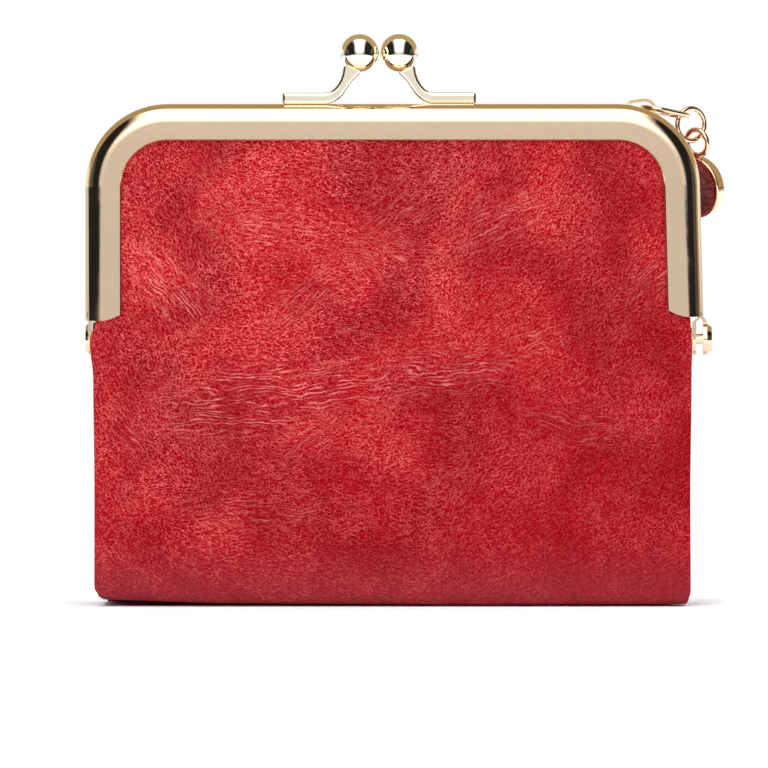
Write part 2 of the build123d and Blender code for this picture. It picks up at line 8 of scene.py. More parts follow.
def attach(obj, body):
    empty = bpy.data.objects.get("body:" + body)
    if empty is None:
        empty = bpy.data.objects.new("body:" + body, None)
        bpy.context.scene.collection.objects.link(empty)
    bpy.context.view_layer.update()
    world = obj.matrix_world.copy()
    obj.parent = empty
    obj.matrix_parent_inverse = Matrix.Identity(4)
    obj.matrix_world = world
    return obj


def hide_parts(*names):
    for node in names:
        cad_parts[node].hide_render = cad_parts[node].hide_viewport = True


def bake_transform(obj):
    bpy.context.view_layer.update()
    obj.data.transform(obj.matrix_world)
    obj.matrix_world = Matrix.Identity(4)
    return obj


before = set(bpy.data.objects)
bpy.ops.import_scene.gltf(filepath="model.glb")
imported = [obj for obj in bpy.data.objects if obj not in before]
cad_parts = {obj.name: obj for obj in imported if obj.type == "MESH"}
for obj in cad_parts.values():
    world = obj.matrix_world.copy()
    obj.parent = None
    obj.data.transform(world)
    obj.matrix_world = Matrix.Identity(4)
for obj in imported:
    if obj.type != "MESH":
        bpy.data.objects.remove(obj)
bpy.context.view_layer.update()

mm = 0.001
print("frame loaded:", len(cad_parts), "nodes")


# small helpers for curves and meshes
def ease(low, high, value):
    # 0 below low, 1 above high, smooth between; also runs downwards when low is above high
    share = min(1.0, max(0.0, (value - low) / (high - low)))
    return share * share * (3 - 2 * share)


def along(stops, value):
    # a smooth line through (position, height) stops, flat past both ends
    if value <= stops[0][0]:
        return stops[0][1]
    for (low, lowHeight), (high, highHeight) in zip(stops, stops[1:]):
        if value <= high:
            return lowHeight + (highHeight - lowHeight) * ease(low, high, value)
    return stops[-1][1]


def ripple(x, z, size, seed):
    # gentle unevenness of hand-laid leather, about -1 to 1
    return noise.noise(Vector((x / size, z / size, seed)))


def waveAt(wave, x, z):
    # a wave is its height, its size and its seed
    height, size, seed = wave
    return height * ripple(x, z, size, seed)


def finishMesh(name, bm, materials):
    mesh = bpy.data.meshes.new(name)
    bm.to_mesh(mesh)
    bm.free()
    piece = bpy.data.objects.new(name, mesh)
    bpy.context.scene.collection.objects.link(piece)
    for material in materials:
        mesh.materials.append(material)
    for face in mesh.polygons:
        face.use_smooth = True
    return piece


# rounding of every sheet's cut edge, its width a share of the thickness
cutEdge = {"share": 0.3, "segments": 3, "profile": 0.5, "angle": 50}


def makeSheet(name, grid, place, materials, thickness, outwards, uvSize):
    # place(across, down) sends each point of a unit grid to where it lies
    # the UV map is in tenths of a metre
    bm = bmesh.new()
    bmesh.ops.create_grid(bm, x_segments=grid[0], y_segments=grid[1], size=0.5)
    uvLayer = bm.loops.layers.uv.new("UVMap")
    for face in bm.faces:
        for loop in face.loops:
            across, down = loop.vert.co.x + 0.5, 0.5 - loop.vert.co.y
            loop[uvLayer].uv = (across * uvSize[0] * 10, (1 - down) * uvSize[1] * 10)
    for vert in bm.verts:
        vert.co = place(vert.co.x + 0.5, 0.5 - vert.co.y)
    bm.normal_update()
    facing = sum((face.normal * face.calc_area() for face in bm.faces), Vector())
    if facing.dot(Vector(outwards)) < 0:
        bmesh.ops.reverse_faces(bm, faces=bm.faces[:])
    piece = finishMesh(name, bm, materials)
    solid = piece.modifiers.new("thickness", "SOLIDIFY")
    solid.thickness = thickness
    solid.offset = -1.0
    solid.material_offset_rim = 1
    solid.material_offset = 2
    edge = piece.modifiers.new("edge", "BEVEL")
    edge.width = thickness * cutEdge["share"]
    edge.segments = cutEdge["segments"]
    edge.profile = cutEdge["profile"]
    edge.limit_method = "ANGLE"
    edge.angle_limit = math.radians(cutEdge["angle"])
    return piece


# node helpers
def feed(tree, node, inputs):
    for key, value in inputs.items():
        if isinstance(value, bpy.types.NodeSocket):
            tree.links.new(value, node.inputs[key])
        else:
            node.inputs[key].default_value = value


def put(tree, kind, inputs=None, **settings):
    node = tree.nodes.new("ShaderNode" + kind)
    for key, value in settings.items():
        setattr(node, key, value)
    feed(tree, node, inputs or {})
    return node


def maths(tree, operation, first, second=0.5, clamp=False):
    node = put(tree, "Math", {0: first, 1: second}, operation=operation, use_clamp=clamp)
    return node.outputs[0]


def multiply(tree, first, second, clamp=False):
    return maths(tree, "MULTIPLY", first, second, clamp=clamp)


def mixColour(tree, share, first, second):
    return put(tree, "Mix", {0: share, 6: first, 7: second}, data_type="RGBA").outputs[2]


def mixValue(tree, share, first, second):
    return put(tree, "Mix", {0: share, 2: first, 3: second}, data_type="FLOAT").outputs[0]


def vectorMaths(tree, operation, first, second):
    return put(tree, "VectorMath", {0: first, 1: second}, operation=operation).outputs[0]


def scaledBy(tree, vector, scale):
    return put(tree, "VectorMath", {0: vector, "Scale": scale}, operation="SCALE").outputs[0]


def axesOf(tree, vector):
    return put(tree, "SeparateXYZ", {0: vector}).outputs


def stretched(tree, vector, scale, turn):
    # scale in cycles per unit along and across, after a turn in degrees
    turnVector = (0, 0, math.radians(turn))
    first = put(tree, "Mapping", {"Vector": vector, "Rotation": turnVector})
    second = put(tree, "Mapping", {"Vector": first.outputs[0], "Scale": (scale[0], scale[1], 1)})
    return second.outputs[0]


def noiseOf(tree, vector, scale=1.0, detail=2.0, roughness=0.5, distortion=0.0):
    inputs = {"Vector": vector, "Scale": scale, "Detail": detail, "Roughness": roughness}
    inputs["Distortion"] = distortion
    return put(tree, "TexNoise", inputs, noise_dimensions="3D").outputs["Fac"]


def rangeOf(tree, value, low, high, newLow=0.0, newHigh=1.0):
    inputs = {"Value": value, "From Min": low, "From Max": high}
    inputs.update({"To Min": newLow, "To Max": newHigh})
    return put(tree, "MapRange", inputs, interpolation_type="SMOOTHSTEP").outputs[0]


def ridge(tree, value, width):
    # thin bright lines where a noise crosses its middle
    distance = maths(tree, "ABSOLUTE", maths(tree, "SUBTRACT", value, 0.5))
    return rangeOf(tree, distance, 0.0, width, 1.0, 0.0)


def newGroup(name, inputs, outputs):
    group = bpy.data.node_groups.new(name, "ShaderNodeTree")
    for label, kind, value in inputs:
        socket = group.interface.new_socket(label, in_out="INPUT", socket_type=kind)
        if value is not None:
            socket.default_value = value
    for label, kind in outputs:
        group.interface.new_socket(label, in_out="OUTPUT", socket_type=kind)
    start = group.nodes.new("NodeGroupInput")
    end = group.nodes.new("NodeGroupOutput")
    return group, start, end


def useGroup(tree, group, inputs):
    node = tree.nodes.new("ShaderNodeGroup")
    node.node_tree = group
    feed(tree, node, inputs)
    return node


def newMaterial(name, roughness=0.5, metallic=0.0, **sockets):
    material = bpy.data.materials.new(name)
    material.use_nodes = True
    tree = material.node_tree
    shader = tree.nodes["Principled BSDF"]
    shader.inputs["Roughness"].default_value = roughness
    shader.inputs["Metallic"].default_value = metallic
    for key, value in sockets.items():
        shader.inputs[key.replace("_", " ")].default_value = value
    return material, tree, shader


def addBump(tree, shader, height, distance, strength=1.0):
    bump = put(tree, "Bump", {"Height": height, "Distance": distance, "Strength": strength})
    tree.links.new(bump.outputs[0], shader.inputs["Normal"])


# shared effects

# crease bundles of the front leather, by direction in degrees
# each is its middle, half length, half width and strength
creaseBundles = {
    -45: [(14.5, 66, 13, 6, 0.8), (10, 39, 8, 4, 0.45), (26, 84, 10, 5, 0.35)],
    3: [(40, 47, 32, 6.5, 0.9), (70, 50, 20, 6, 0.6), (30, 41, 22, 5, 0.6), (36, 24, 20, 5, 0.35)],
    38: [
        (43, 64.5, 15, 5, 0.6), (45, 37.3, 10, 4.5, 0.45), (111.5, 68, 8, 5, 0.5),
        (62, 82, 14, 6, 0.4),
    ],
    24: [(80.7, 79.3, 14, 6, 0.5), (85.7, 55.5, 9, 4, 0.55)],
    -8: [(34, 77.5, 16, 6, 0.5), (58, 73, 14, 4, 0.45), (95, 40, 14, 6, 0.3)],
}
# scales are in cycles per millimetre, in pairs along and across
# the left and right bands are millimetres across the sheet
grainSetting = {
    "driftScale": 0.045,
    "driftReach": (5, 5, 0),
    "nets": ((-6, (0.62, 1.5)), (40, (0.75, 1.6)), (-52, (0.7, 1.6))),
    "wander": (0.04, 90),
    "rightBand": (104, 122),
    "leftBand": (56, 70),
    "lineWidth": 0.055,
    "lineGrain": (0.4, 0.58, 0.4, 1.0),
    "fineScale": 2.6,
    "pebbles": (0.5, 0.68, 0.0, 0.5),
    "patchScale": 0.08,
    "patches": (0.36, 0.62, 0.55, 1.05),
    "wobble": ((0.13, 0.3), 16),
    "creaseTurns": 4.0,
    "creaseWidth": (0.05, 0.75),
    "creaseEnds": (0.17, 0.8),
    "endBand": (0.4, 0.6),
    "bundleEdge": (0.3, 1.1),
    "breakScale": 0.4,
    "breaks": (0.34, 0.54, 0.3, 1.0),
    "creaseGrain": (0.4, 0.55, 0.7, 1.0),
    "creaseShade": 0.35,
    "mottleScale": 0.04,
    "heightShares": (0.6, 0.9),
}


def makeStrokes(group, vector, flow, fine):
    # thin lines between the pebbles, level in the middle of the sheet
    # they lean one way on the right and the other way on the left
    g = grainSetting
    nets = []
    for angle, scale in g["nets"]:
        nets.append(noiseOf(group, stretched(group, flow, scale, -angle), 1.0, 2.0, 0.55, 0.3))
    wander = multiply(group, noiseOf(group, vector, g["wander"][0], 2.0), g["wander"][1])
    place = maths(group, "ADD", axesOf(group, vector)[0], wander)
    net = mixValue(group, rangeOf(group, place, *g["rightBand"]), nets[0], nets[1])
    net = mixValue(group, rangeOf(group, place, *g["leftBand"], 1.0, 0.0), net, nets[2])
    lines = ridge(group, net, g["lineWidth"])
    lines = multiply(group, lines, rangeOf(group, fine, *g["lineGrain"]))
    return maths(group, "MAXIMUM", lines, rangeOf(group, fine, *g["pebbles"]))


def makeCreases(group, vector, flow, fine, amount):
    # thin wavy lines side by side, each only so long, gathered in bundles
    # returns the lines, and where the bundles are
    g = grainSetting
    creases = None
    folded = None
    for angle, bundles in creaseBundles.items():
        wobble = noiseOf(group, stretched(group, flow, g["wobble"][0], -angle), 1.0, 3.0, 0.55)
        across = axesOf(group, stretched(group, flow, (1, 1), -angle))[1]
        turns = multiply(group, across, g["creaseTurns"])
        turns = maths(group, "ADD", turns, multiply(group, wobble, g["wobble"][1]))
        wave = maths(group, "SINE", turns)
        lines = rangeOf(group, maths(group, "ABSOLUTE", wave), *g["creaseWidth"], 1.0, 0.0)
        ends = noiseOf(group, stretched(group, flow, g["creaseEnds"], -angle), 1.0, 3.0, 0.55)
        lines = multiply(group, lines, rangeOf(group, ends, *g["endBand"]))
        for x, y, halfLength, halfWidth, strength in bundles:
            fromMiddle = vectorMaths(group, "SUBTRACT", vector, (x, y, 0))
            local = stretched(group, fromMiddle, (1 / halfLength, 1 / halfWidth), -angle)
            reach = put(group, "VectorMath", {0: local}, operation="LENGTH").outputs["Value"]
            near = rangeOf(group, reach, *g["bundleEdge"], strength, 0.0)
            line = multiply(group, lines, near)
            creases = line if creases is None else maths(group, "MAXIMUM", creases, line)
            folded = near if folded is None else maths(group, "MAXIMUM", folded, near)
    creases = multiply(group, creases, amount, clamp=True)
    unbroken = rangeOf(group, noiseOf(group, flow, g["breakScale"], 2.0), *g["breaks"])
    creases = multiply(group, creases, unbroken)
    creases = multiply(group, creases, rangeOf(group, fine, *g["creaseGrain"]))
    return creases, multiply(group, folded, amount)


def makeLeatherGrain():
    # waxed leather, small pebbles drawn out along the hide's own directions
    # its vector is in millimetres
    g = grainSetting
    inputs = [("Vector", "NodeSocketVector", None), ("Creases", "NodeSocketFloat", 1.0)]
    outputs = [(label, "NodeSocketFloat") for label in ("Pale", "Crease", "Mottle", "Height")]
    group, start, end = newGroup("leatherGrain", inputs, outputs)
    vector, amount = start.outputs["Vector"], start.outputs["Creases"]
    driftInputs = {"Vector": vector, "Scale": g["driftScale"], "Detail": 2.0}
    drift = put(group, "TexNoise", driftInputs, noise_dimensions="3D").outputs["Color"]
    centred = vectorMaths(group, "SUBTRACT", drift, (0.5, 0.5, 0.5))
    shift = vectorMaths(group, "MULTIPLY", centred, g["driftReach"])
    flow = vectorMaths(group, "ADD", vector, shift)
    fine = noiseOf(group, flow, g["fineScale"], 2.0, 0.6)

    stroke = makeStrokes(group, vector, flow, fine)
    creases, folded = makeCreases(group, vector, flow, fine, amount)
    patch = rangeOf(group, noiseOf(group, flow, g["patchScale"], 4.0, 0.6), *g["patches"])
    shade = multiply(group, folded, g["creaseShade"])
    pale = multiply(group, multiply(group, stroke, patch), maths(group, "SUBTRACT", 1.0, shade))
    pale = maths(group, "MAXIMUM", pale, creases)
    mottle = noiseOf(group, vector, g["mottleScale"], 4.0, 0.6, 0.4)
    strokeShare, creaseShare = g["heightShares"]
    creaseHeight = multiply(group, creases, creaseShare)
    height = maths(group, "ADD", multiply(group, stroke, strokeShare), creaseHeight)
    results = {"Pale": pale, "Crease": creases, "Mottle": mottle, "Height": height}
    for label, value in results.items():
        group.links.new(value, end.inputs[label])
    return group


def makeWeave():
    # plain weave, its vector in millimetres
    inputs = [("Vector", "NodeSocketVector", None), ("Threads", "NodeSocketFloat", 3.0)]
    outputs = [("Height", "NodeSocketFloat"), ("Thread", "NodeSocketFloat")]
    group, start, end = newGroup("plainWeave", inputs, outputs)
    scaled = scaledBy(group, start.outputs["Vector"], start.outputs["Threads"])
    parts = axesOf(group, scaled)
    heights = []
    for axis, other in ((0, 1), (1, 0)):
        over = maths(group, "SINE", multiply(group, parts[axis], math.pi))
        row = maths(group, "COSINE", multiply(group, parts[other], math.pi))
        heights.append(multiply(group, over, row))
    height = maths(group, "ABSOLUTE", maths(group, "MAXIMUM", heights[0], heights[1]))
    group.links.new(height, end.inputs["Height"])
    group.links.new(noiseOf(group, scaled, 0.4, 2.0), end.inputs["Thread"])
    return group


polishSetting = {
    "smudgeScale": 0.16,
    "smudgeBand": (0.45, 0.75),
    "scratch": ((0.3, 6.0), 20),
    "scratchWidth": 0.01,
    "markShares": (0.05, 0.03),
    "waveScale": 0.35,
}


def makePolish():
    # handling marks on bright plate, its vector in millimetres
    p = polishSetting
    inputs = [("Vector", "NodeSocketVector", None), ("Base", "NodeSocketFloat", 0.08)]
    outputs = [("Roughness", "NodeSocketFloat"), ("Height", "NodeSocketFloat")]
    group, start, end = newGroup("platePolish", inputs, outputs)
    vector = start.outputs["Vector"]
    smudge = rangeOf(group, noiseOf(group, vector, p["smudgeScale"], 4.0, 0.6), *p["smudgeBand"])
    scratch = noiseOf(group, stretched(group, vector, *p["scratch"]), 1.0, 2.0)
    scratch = ridge(group, scratch, p["scratchWidth"])
    smudgeShare, scratchShare = p["markShares"]
    scratch = multiply(group, scratch, scratchShare)
    marks = maths(group, "ADD", multiply(group, smudge, smudgeShare), scratch)
    group.links.new(maths(group, "ADD", start.outputs["Base"], marks), end.inputs["Roughness"])
    group.links.new(noiseOf(group, vector, p["waveScale"], 2.0), end.inputs["Height"])
    return group


leatherGrain = makeLeatherGrain()
plainWeave = makeWeave()
platePolish = makePolish()


# materials
def uvMillimetres(tree):
    # sheets carry their real size in their UV map
    return scaledBy(tree, put(tree, "UVMap", uv_map="UVMap").outputs[0], 100.0)


def objectMillimetres(tree):
    return scaledBy(tree, put(tree, "TexCoord").outputs["Object"], 1000.0)


redHide = {
    "dark": (0.245, 0.0004, 0.0045, 1),
    "red": (0.365, 0.0010, 0.0085, 1),
    "coral": (0.96, 0.185, 0.178, 1),
    # painted highlight on the crease lines, and how much of it
    "creaseHighlight": (1.0, 0.36, 0.33, 1),
    "creaseHighlightShare": 0.6,
    # painted shade with a painted floor reflection at the sheet's foot: its colour, its band in
    # millimetres up from the lower end, and how far the pale strokes fade there
    "footShadeColour": (0.255, 0.022, 0.034, 1),
    "footShadeBand": (5.0, 20.0),
    "footShadeCalm": 0.5,
    "mottleBand": (0.36, 0.62),
    "paleShare": 0.84,
    "paleMottle": (0.35, 0.65, 0.85, 1.15),
    "roughMottle": (0.3, 0.7, 0.56, 0.44),
    "calmAlong": (0.4, 0.6),
    "calmBand": (-38.0, 50.0, 0.44, 1.12),
    "grainDepth": 0.05 * mm,
    "bump": 0.9,
}


def makeLeather(name, creases=1.0, footShade=0.0, start=(0, 0, 0)):
    h = redHide
    material, tree, shader = newMaterial(name, roughness=0.5, Specular_IOR_Level=0.02)
    vector = uvMillimetres(tree)
    place = vectorMaths(tree, "ADD", vector, start)
    grain = useGroup(tree, leatherGrain, {"Vector": place, "Creases": creases}).outputs
    mottle = grain["Mottle"]
    parts = axesOf(tree, vector)
    # darker, with fewer pale strokes, from the upper left towards the lower right
    rightwards, upwards = h["calmAlong"]
    right = multiply(tree, parts[0], rightwards)
    upper = maths(tree, "SUBTRACT", multiply(tree, parts[1], upwards), right)
    upper = rangeOf(tree, upper, *h["calmBand"])
    share = multiply(tree, rangeOf(tree, mottle, *h["mottleBand"]), upper, clamp=True)
    base = mixColour(tree, share, h["dark"], h["red"])
    pale = multiply(tree, multiply(tree, grain["Pale"], h["paleShare"]), upper)
    pale = multiply(tree, pale, rangeOf(tree, mottle, *h["paleMottle"]), clamp=True)
    # painted shade with a painted floor reflection: towards the sheet's lower end, where it curves
    # under, the red turns darker and duller and the pale strokes fade
    if footShade:
        foot = rangeOf(tree, parts[1], *h["footShadeBand"], footShade, 0.0)
        base = mixColour(tree, foot, base, h["footShadeColour"])
        calm = maths(tree, "SUBTRACT", 1.0, multiply(tree, foot, h["footShadeCalm"]))
        pale = multiply(tree, pale, calm)
    base = mixColour(tree, pale, base, h["coral"])
    # painted highlight: the crease lines are brightened towards a pale pink
    base = mixColour(tree, multiply(tree, grain["Crease"], h["creaseHighlightShare"]), base, h["creaseHighlight"])
    tree.links.new(base, shader.inputs["Base Color"])
    tree.links.new(rangeOf(tree, mottle, *h["roughMottle"]), shader.inputs["Roughness"])
    addBump(tree, shader, grain["Height"], h["grainDepth"], h["bump"])
    return material


edgePaint = {
    "streakScale": 0.8,
    "dark": (0.012, 0.002, 0.003, 1),
    "pale": (0.04, 0.004, 0.007, 1),
    "depth": 0.06 * mm,
    "bump": 0.5,
}


def makePaintedEdge():
    e = edgePaint
    material, tree, shader = newMaterial("paintedEdge", roughness=0.6, Specular_IOR_Level=0.2)
    streak = noiseOf(tree, objectMillimetres(tree), e["streakScale"], 3.0)
    tree.links.new(mixColour(tree, streak, e["dark"], e["pale"]), shader.inputs["Base Color"])
    addBump(tree, shader, streak, e["depth"], e["bump"])
    return material


clothSetting = {
    "sheen": 0.25,
    "shares": (0.6, 0.4),
    "depth": 0.05 * mm,
    "bump": 0.7,
    # dark and pale colour, threads per millimetre, roughness
    "liningCloth": ((0.03, 0.02, 0.018, 1), (0.11, 0.085, 0.07, 1), 2.6, 0.85),
    "tapeCloth": ((0.10, 0.006, 0.014, 1), (0.32, 0.02, 0.035, 1), 2.0, 0.8),
}


def makeCloth(name):
    c = clothSetting
    dark, pale, threads, roughness = c[name]
    material, tree, shader = newMaterial(name, roughness=roughness, Sheen_Weight=c["sheen"])
    weave = useGroup(tree, plainWeave, {"Vector": uvMillimetres(tree), "Threads": threads}).outputs
    heights = multiply(tree, weave["Height"], c["shares"][0])
    share = maths(tree, "ADD", heights, multiply(tree, weave["Thread"], c["shares"][1]))
    tree.links.new(mixColour(tree, share, dark, pale), shader.inputs["Base Color"])
    addBump(tree, shader, weave["Height"], c["depth"], c["bump"])
    return material


plateSetting = {
    "toneScale": 0.05,
    "depth": 0.02 * mm,
    "bump": 0.12,
    # pale and deep colour, roughness
    "framePlate": ((0.84, 0.655, 0.465, 1), (0.81, 0.62, 0.425, 1), 0.045),
    "palePlate": ((0.95, 0.86, 0.70, 1), (0.93, 0.82, 0.63, 1), 0.045),
    "zipPlate": ((0.84, 0.64, 0.38, 1), (0.78, 0.57, 0.31, 1), 0.09),
}


def makePlate(name):
    p = plateSetting
    pale, deep, roughness = p[name]
    material, tree, shader = newMaterial(name, metallic=1.0)
    polish = useGroup(tree, platePolish, {"Vector": objectMillimetres(tree), "Base": roughness})
    tone = noiseOf(tree, objectMillimetres(tree), p["toneScale"], 2.0)
    tree.links.new(mixColour(tree, tone, deep, pale), shader.inputs["Base Color"])
    tree.links.new(polish.outputs["Roughness"], shader.inputs["Roughness"])
    addBump(tree, shader, polish.outputs["Height"], p["depth"], p["bump"])
    return material


resinSetting = {
    "tone": ((0.5, 1.4), 25),
    "toneBand": (0.34, 0.66),
    "dark": (0.10, 0.018, 0.016, 1),
    "red": (0.27, 0.070, 0.055, 1),
    "vein": ((0.25, 0.6), 60),
    "veinWidth": 0.035,
    "veinShare": 0.7,
    "veinColour": (0.03, 0.005, 0.005, 1),
}


def makeResin():
    # dark red hide below clear gloss resin
    r = resinSetting
    coat = {"Coat_Weight": 1.0, "Coat_Roughness": 0.04}
    material, tree, shader = newMaterial("inlayResin", roughness=0.45, **coat)
    place = objectMillimetres(tree)
    tone = noiseOf(tree, stretched(tree, place, *r["tone"]), 1.0, 3.0, 0.6, 0.5)
    vein = ridge(tree, noiseOf(tree, stretched(tree, place, *r["vein"]), 1.0, 2.0), r["veinWidth"])
    base = mixColour(tree, rangeOf(tree, tone, *r["toneBand"]), r["dark"], r["red"])
    base = mixColour(tree, multiply(tree, vein, r["veinShare"]), base, r["veinColour"])
    tree.links.new(base, shader.inputs["Base Color"])
    return material


paperSetting = {
    "twist": ((1.2, 3.0), 35),
    "dark": (0.42, 0.33, 0.22, 1),
    "pale": (0.70, 0.60, 0.44, 1),
    "depth": 0.08 * mm,
    "bump": 0.6,
}


def makePaper():
    p = paperSetting
    material, tree, shader = newMaterial("paperCord", roughness=0.8)
    twist = noiseOf(tree, stretched(tree, objectMillimetres(tree), *p["twist"]), 1.0, 2.0)
    tree.links.new(mixColour(tree, twist, p["dark"], p["pale"]), shader.inputs["Base Color"])
    addBump(tree, shader, twist, p["depth"], p["bump"])
    return material


frontLeather = makeLeather("frontLeather", footShade=0.75)
plainLeather = makeLeather("plainLeather", creases=0.0, start=(10, 230, 0))
paintedEdge = makePaintedEdge()
liningCloth = makeCloth("liningCloth")
tapeCloth = makeCloth("tapeCloth")
framePlate = makePlate("framePlate")
palePlate = makePlate("palePlate")
zipPlate = makePlate("zipPlate")
inlayResin = makeResin()
paperCord = makePaper()
print("materials made")

plainHide = [plainLeather, paintedEdge, liningCloth]

# frame outline, as the metal frame is bent
outline = {
    "leftX": -59.4 * mm,
    "rightTopX": 59.2 * mm,
    "rightEndX": 60.35 * mm,
    "rightEndZ": 56.2 * mm,
    "leftEndZ": 55.4 * mm,
    "topZ": 97.3 * mm,
    "corner": 16.0 * mm,
    "band": 7.0 * mm,
    "tuck": 2.6 * mm,
}


def rightEdge(z):
    lean = (outline["rightEndX"] - outline["rightTopX"]) / (outline["topZ"] - outline["rightEndZ"])
    return outline["rightTopX"] + lean * (outline["topZ"] - z)


def cornerCut(radius, depth):
    # how far a rounded corner stands in from the side, at this depth below the top
    if depth >= radius:
        return 0.0
    return radius - math.sqrt(max(0.0, radius * radius - (radius - depth) ** 2))


def insideWindow(x, z):
    # distance from the frame's inner edge, towards the middle of the leather
    radius = outline["corner"] - outline["band"]
    left = x - (outline["leftX"] + outline["band"])
    right = rightEdge(z) - outline["band"] - x
    top = outline["topZ"] - outline["band"] - z
    side = min(left, right)
    if side < radius and top < radius:
        return radius - math.hypot(radius - side, radius - top)
    return min(side, top)


# the front leather, one sheet from the frame's channel down and under the base
frontSheet = {
    "topZ": 94.2 * mm,
    "tuckedY": -8.1 * mm,
    "crown": 0.85 * mm,
    "crownReach": 3.2 * mm,
    "belly": 0.75 * mm,
    "wave": (0.16 * mm, 19 * mm, 3.1),
    "legBlend": (1.2 * mm, 3.4 * mm),
    "edgeStart": 1.5 * mm,
    "thickness": 1.4 * mm,
    # stops in millimetres: height, then across
    "leftEdge": [
        (0.0, -56.1), (0.6, -56.9), (2.6, -57.75), (24.0, -57.7), (44.0, -57.9), (51.3, -58.55),
        (55.6, -57.4), (58.5, -56.6),
    ],
    "rightEdge": [
        (0.0, 56.9), (0.6, 57.4), (2.6, 57.9), (24.0, 57.8), (44.0, 58.0), (51.0, 58.1),
        (55.6, 57.8), (58.5, 57.3),
    ],
    "bellyStops": [(2, 0.55), (18, 1.0), (40, 0.7), (56, 0.35), (78, 0.55), (92, 0.0)],
    "bellyReach": 58 * mm,
    "tuckBand": (55.0 * mm, 59.0 * mm),
    "flatWidth": 118 * mm,
    "bottomZ": [(-58.0, 1.25), (-30.0, 0.55), (20.0, 0.25), (58.0, 0.35)],
    "wrapRadius": [(0.0, 1.6), (44.0, 1.8), (50.0, 1.1), (56.0, 0.6), (58.0, 0.05)],
    "wrapBack": [
        (0.0, 0.3), (1.0, 0.8), (3.2, 2.2), (42.0, 2.2), (47.0, 0.2), (56.0, 0.05), (58.0, 0.01),
    ],
    "rollRadius": 2.4 * mm,
    "rollUnder": 4.0 * mm,
    "footBand": (10 * mm, 0.0),
    "grid": (150, 120),
}


def frontSide(stops, z):
    return along(stops, z / mm) * mm


def frontSurface(x, z):
    # how far forward the leather stands at this place
    s = frontSheet
    legEnd = outline["leftEndZ"] if x < 0 else outline["rightEndZ"]
    above, below = s["legBlend"]
    free = ease(legEnd + above, legEnd - below, z)
    window = max(0.0, insideWindow(x, z))
    lift = 1 - math.exp(-window / s["crownReach"])
    edge = min(x - frontSide(s["leftEdge"], z), frontSide(s["rightEdge"], z) - x)
    freeLift = 1 - math.exp(-max(0.0, edge + s["edgeStart"]) / s["crownReach"])
    lift = lift * (1 - free) + max(lift, freeLift) * free
    across = 1 - (x / s["bellyReach"]) ** 2
    belly = along(s["bellyStops"], z / mm) * max(0.0, across)
    wave = waveAt(s["wave"], x, z) * lift
    return s["tuckedY"] - s["crown"] * lift - s["belly"] * belly + wave


def placeFront(across, down):
    s = frontSheet
    straight = s["topZ"] - s["rollRadius"]
    quarter = s["rollRadius"] * math.pi / 2
    length = straight + quarter + s["rollUnder"]
    travel = down * length
    past = travel - straight
    roll = min(math.pi / 2, max(0.0, past) / s["rollRadius"])
    z = s["topZ"] - min(travel, straight)
    rolledZ = z - s["rollRadius"] * math.sin(roll)
    left = frontSide(s["leftEdge"], rolledZ)
    right = frontSide(s["rightEdge"], rolledZ)
    tuckTop = outline["topZ"] - outline["tuck"]
    tuckRadius = outline["corner"] - outline["tuck"]
    tucked = ease(*s["tuckBand"], z)
    cut = cornerCut(tuckRadius, tuckTop - z)
    left = left * (1 - tucked) + (outline["leftX"] + outline["tuck"] + cut) * tucked
    right = right * (1 - tucked) + (rightEdge(z) - outline["tuck"] - cut) * tucked
    radius = frontSide(s["wrapRadius"], rolledZ)
    back = frontSide(s["wrapBack"], rolledZ)
    wrap = radius * math.pi / 2 + back
    run = across * (wrap + right - left - radius) - wrap
    if run >= 0:
        x, turn, extra = left + radius + run, 0.0, 0.0
    else:
        turn = min(math.pi / 2, -run / radius)
        extra = max(0.0, -run - radius * math.pi / 2)
        x = left + radius - radius * math.sin(turn)
    y = frontSurface(max(x, left + radius), z) + radius * (1 - math.cos(turn)) + extra
    y += s["rollRadius"] * (1 - math.cos(roll)) + max(0.0, past - quarter)
    lift = frontSide(s["bottomZ"], x) * ease(*s["footBand"], rolledZ)
    return Vector((x, y, rolledZ + lift))


# leather under the base
baseSheet = {
    "halfWidth": 54.8 * mm,
    "frontY": -4.0 * mm,
    "backY": 7.4 * mm,
    "thickness": 1.3 * mm,
    "edgeLift": 0.7 * mm,
    "edgeReach": 3.0 * mm,
    "offFloor": 0.04 * mm,
    "dip": (0.12 * mm, 14 * mm, 8.2),
    "dipShare": 0.5,
    "dipBand": (0.0, 0.2),
    "grid": (60, 10),
}


def placeBase(across, down):
    b = baseSheet
    x = b["halfWidth"] * (2 * across - 1)
    y = b["backY"] + (b["frontY"] - b["backY"]) * down
    nearSide = ease(b["edgeReach"], 0.0, b["halfWidth"] - abs(x))
    dipHeight, dipSize, dipSeed = b["dip"]
    dip = dipHeight * (1 + ripple(x, y, dipSize, dipSeed))
    rest = ease(*b["dipBand"], across) * ease(*b["dipBand"], 1 - across)
    z = b["offFloor"] + b["edgeLift"] * nearSide + dip * (1 - rest) * b["dipShare"]
    return Vector((x, y, z))


def buildBase():
    b = baseSheet
    size = (2 * b["halfWidth"], b["backY"] - b["frontY"])
    hide = (plainHide, b["thickness"])
    piece = makeSheet("base_leather", b["grid"], placeBase, *hide, (0, 0, -1), size)
    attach(piece, "purse_body")
    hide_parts("base_panel")


